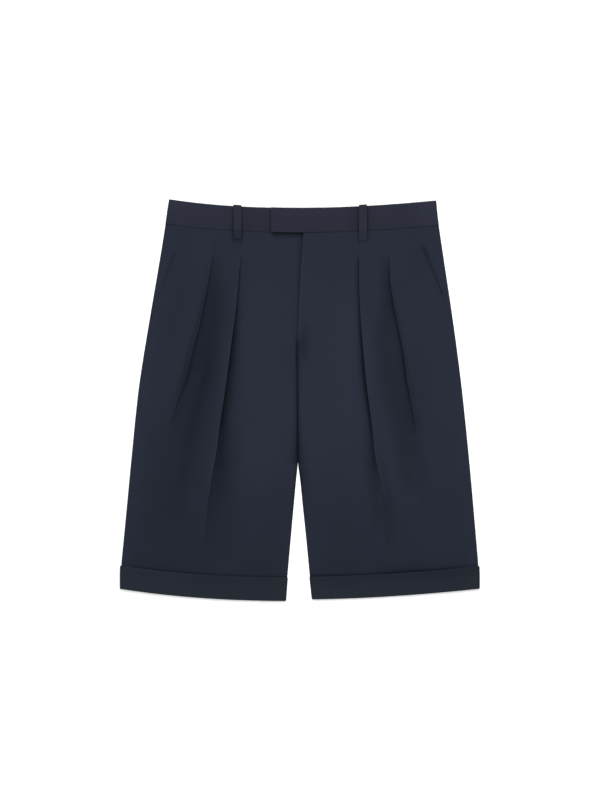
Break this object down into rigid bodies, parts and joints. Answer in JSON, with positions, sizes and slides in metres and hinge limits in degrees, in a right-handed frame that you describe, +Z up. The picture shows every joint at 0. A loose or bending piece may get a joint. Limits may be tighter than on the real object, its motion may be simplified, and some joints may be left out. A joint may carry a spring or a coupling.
{
  "type": "pair of bermuda shorts",
  "caption": "Tailored bermuda shorts laid flat: pleated fronts, slant pockets, waistband with a buttoning tab and belt loops, turn-up cuffs.",
  "frame": {"origin": "on the surface that the shorts lie on, in the middle of the outline's box", "axes": "+X towards the wearer's left, +Y from the hems to the waist, +Z up off the surface, out of the shorts' front"},
  "size_m": [0.5222, 0.5826, 0.0085],
  "materials": {
    "panel_cloth": "matte",
    "band_cloth": "matte",
    "cuff_cloth": "matte"
  },
  "bodies": {
    "root": {"front_left": "panel_cloth", "front_right": "panel_cloth", "back_left": "panel_cloth", "back_right": "panel_cloth", "pocket_left": "panel_cloth", "pocket_right": "panel_cloth", "waistband_left": "band_cloth", "waistband_right": "band_cloth", "cuff_left": "cuff_cloth", "cuff_right": "cuff_cloth", "belt_loop_front_left": "band_cloth", "belt_loop_front_right": "band_cloth", "belt_loop_back_left": "band_cloth", "belt_loop_back_right": "band_cloth", "belt_loop_centre_back": "band_cloth"}
  },
  "joints": []
}
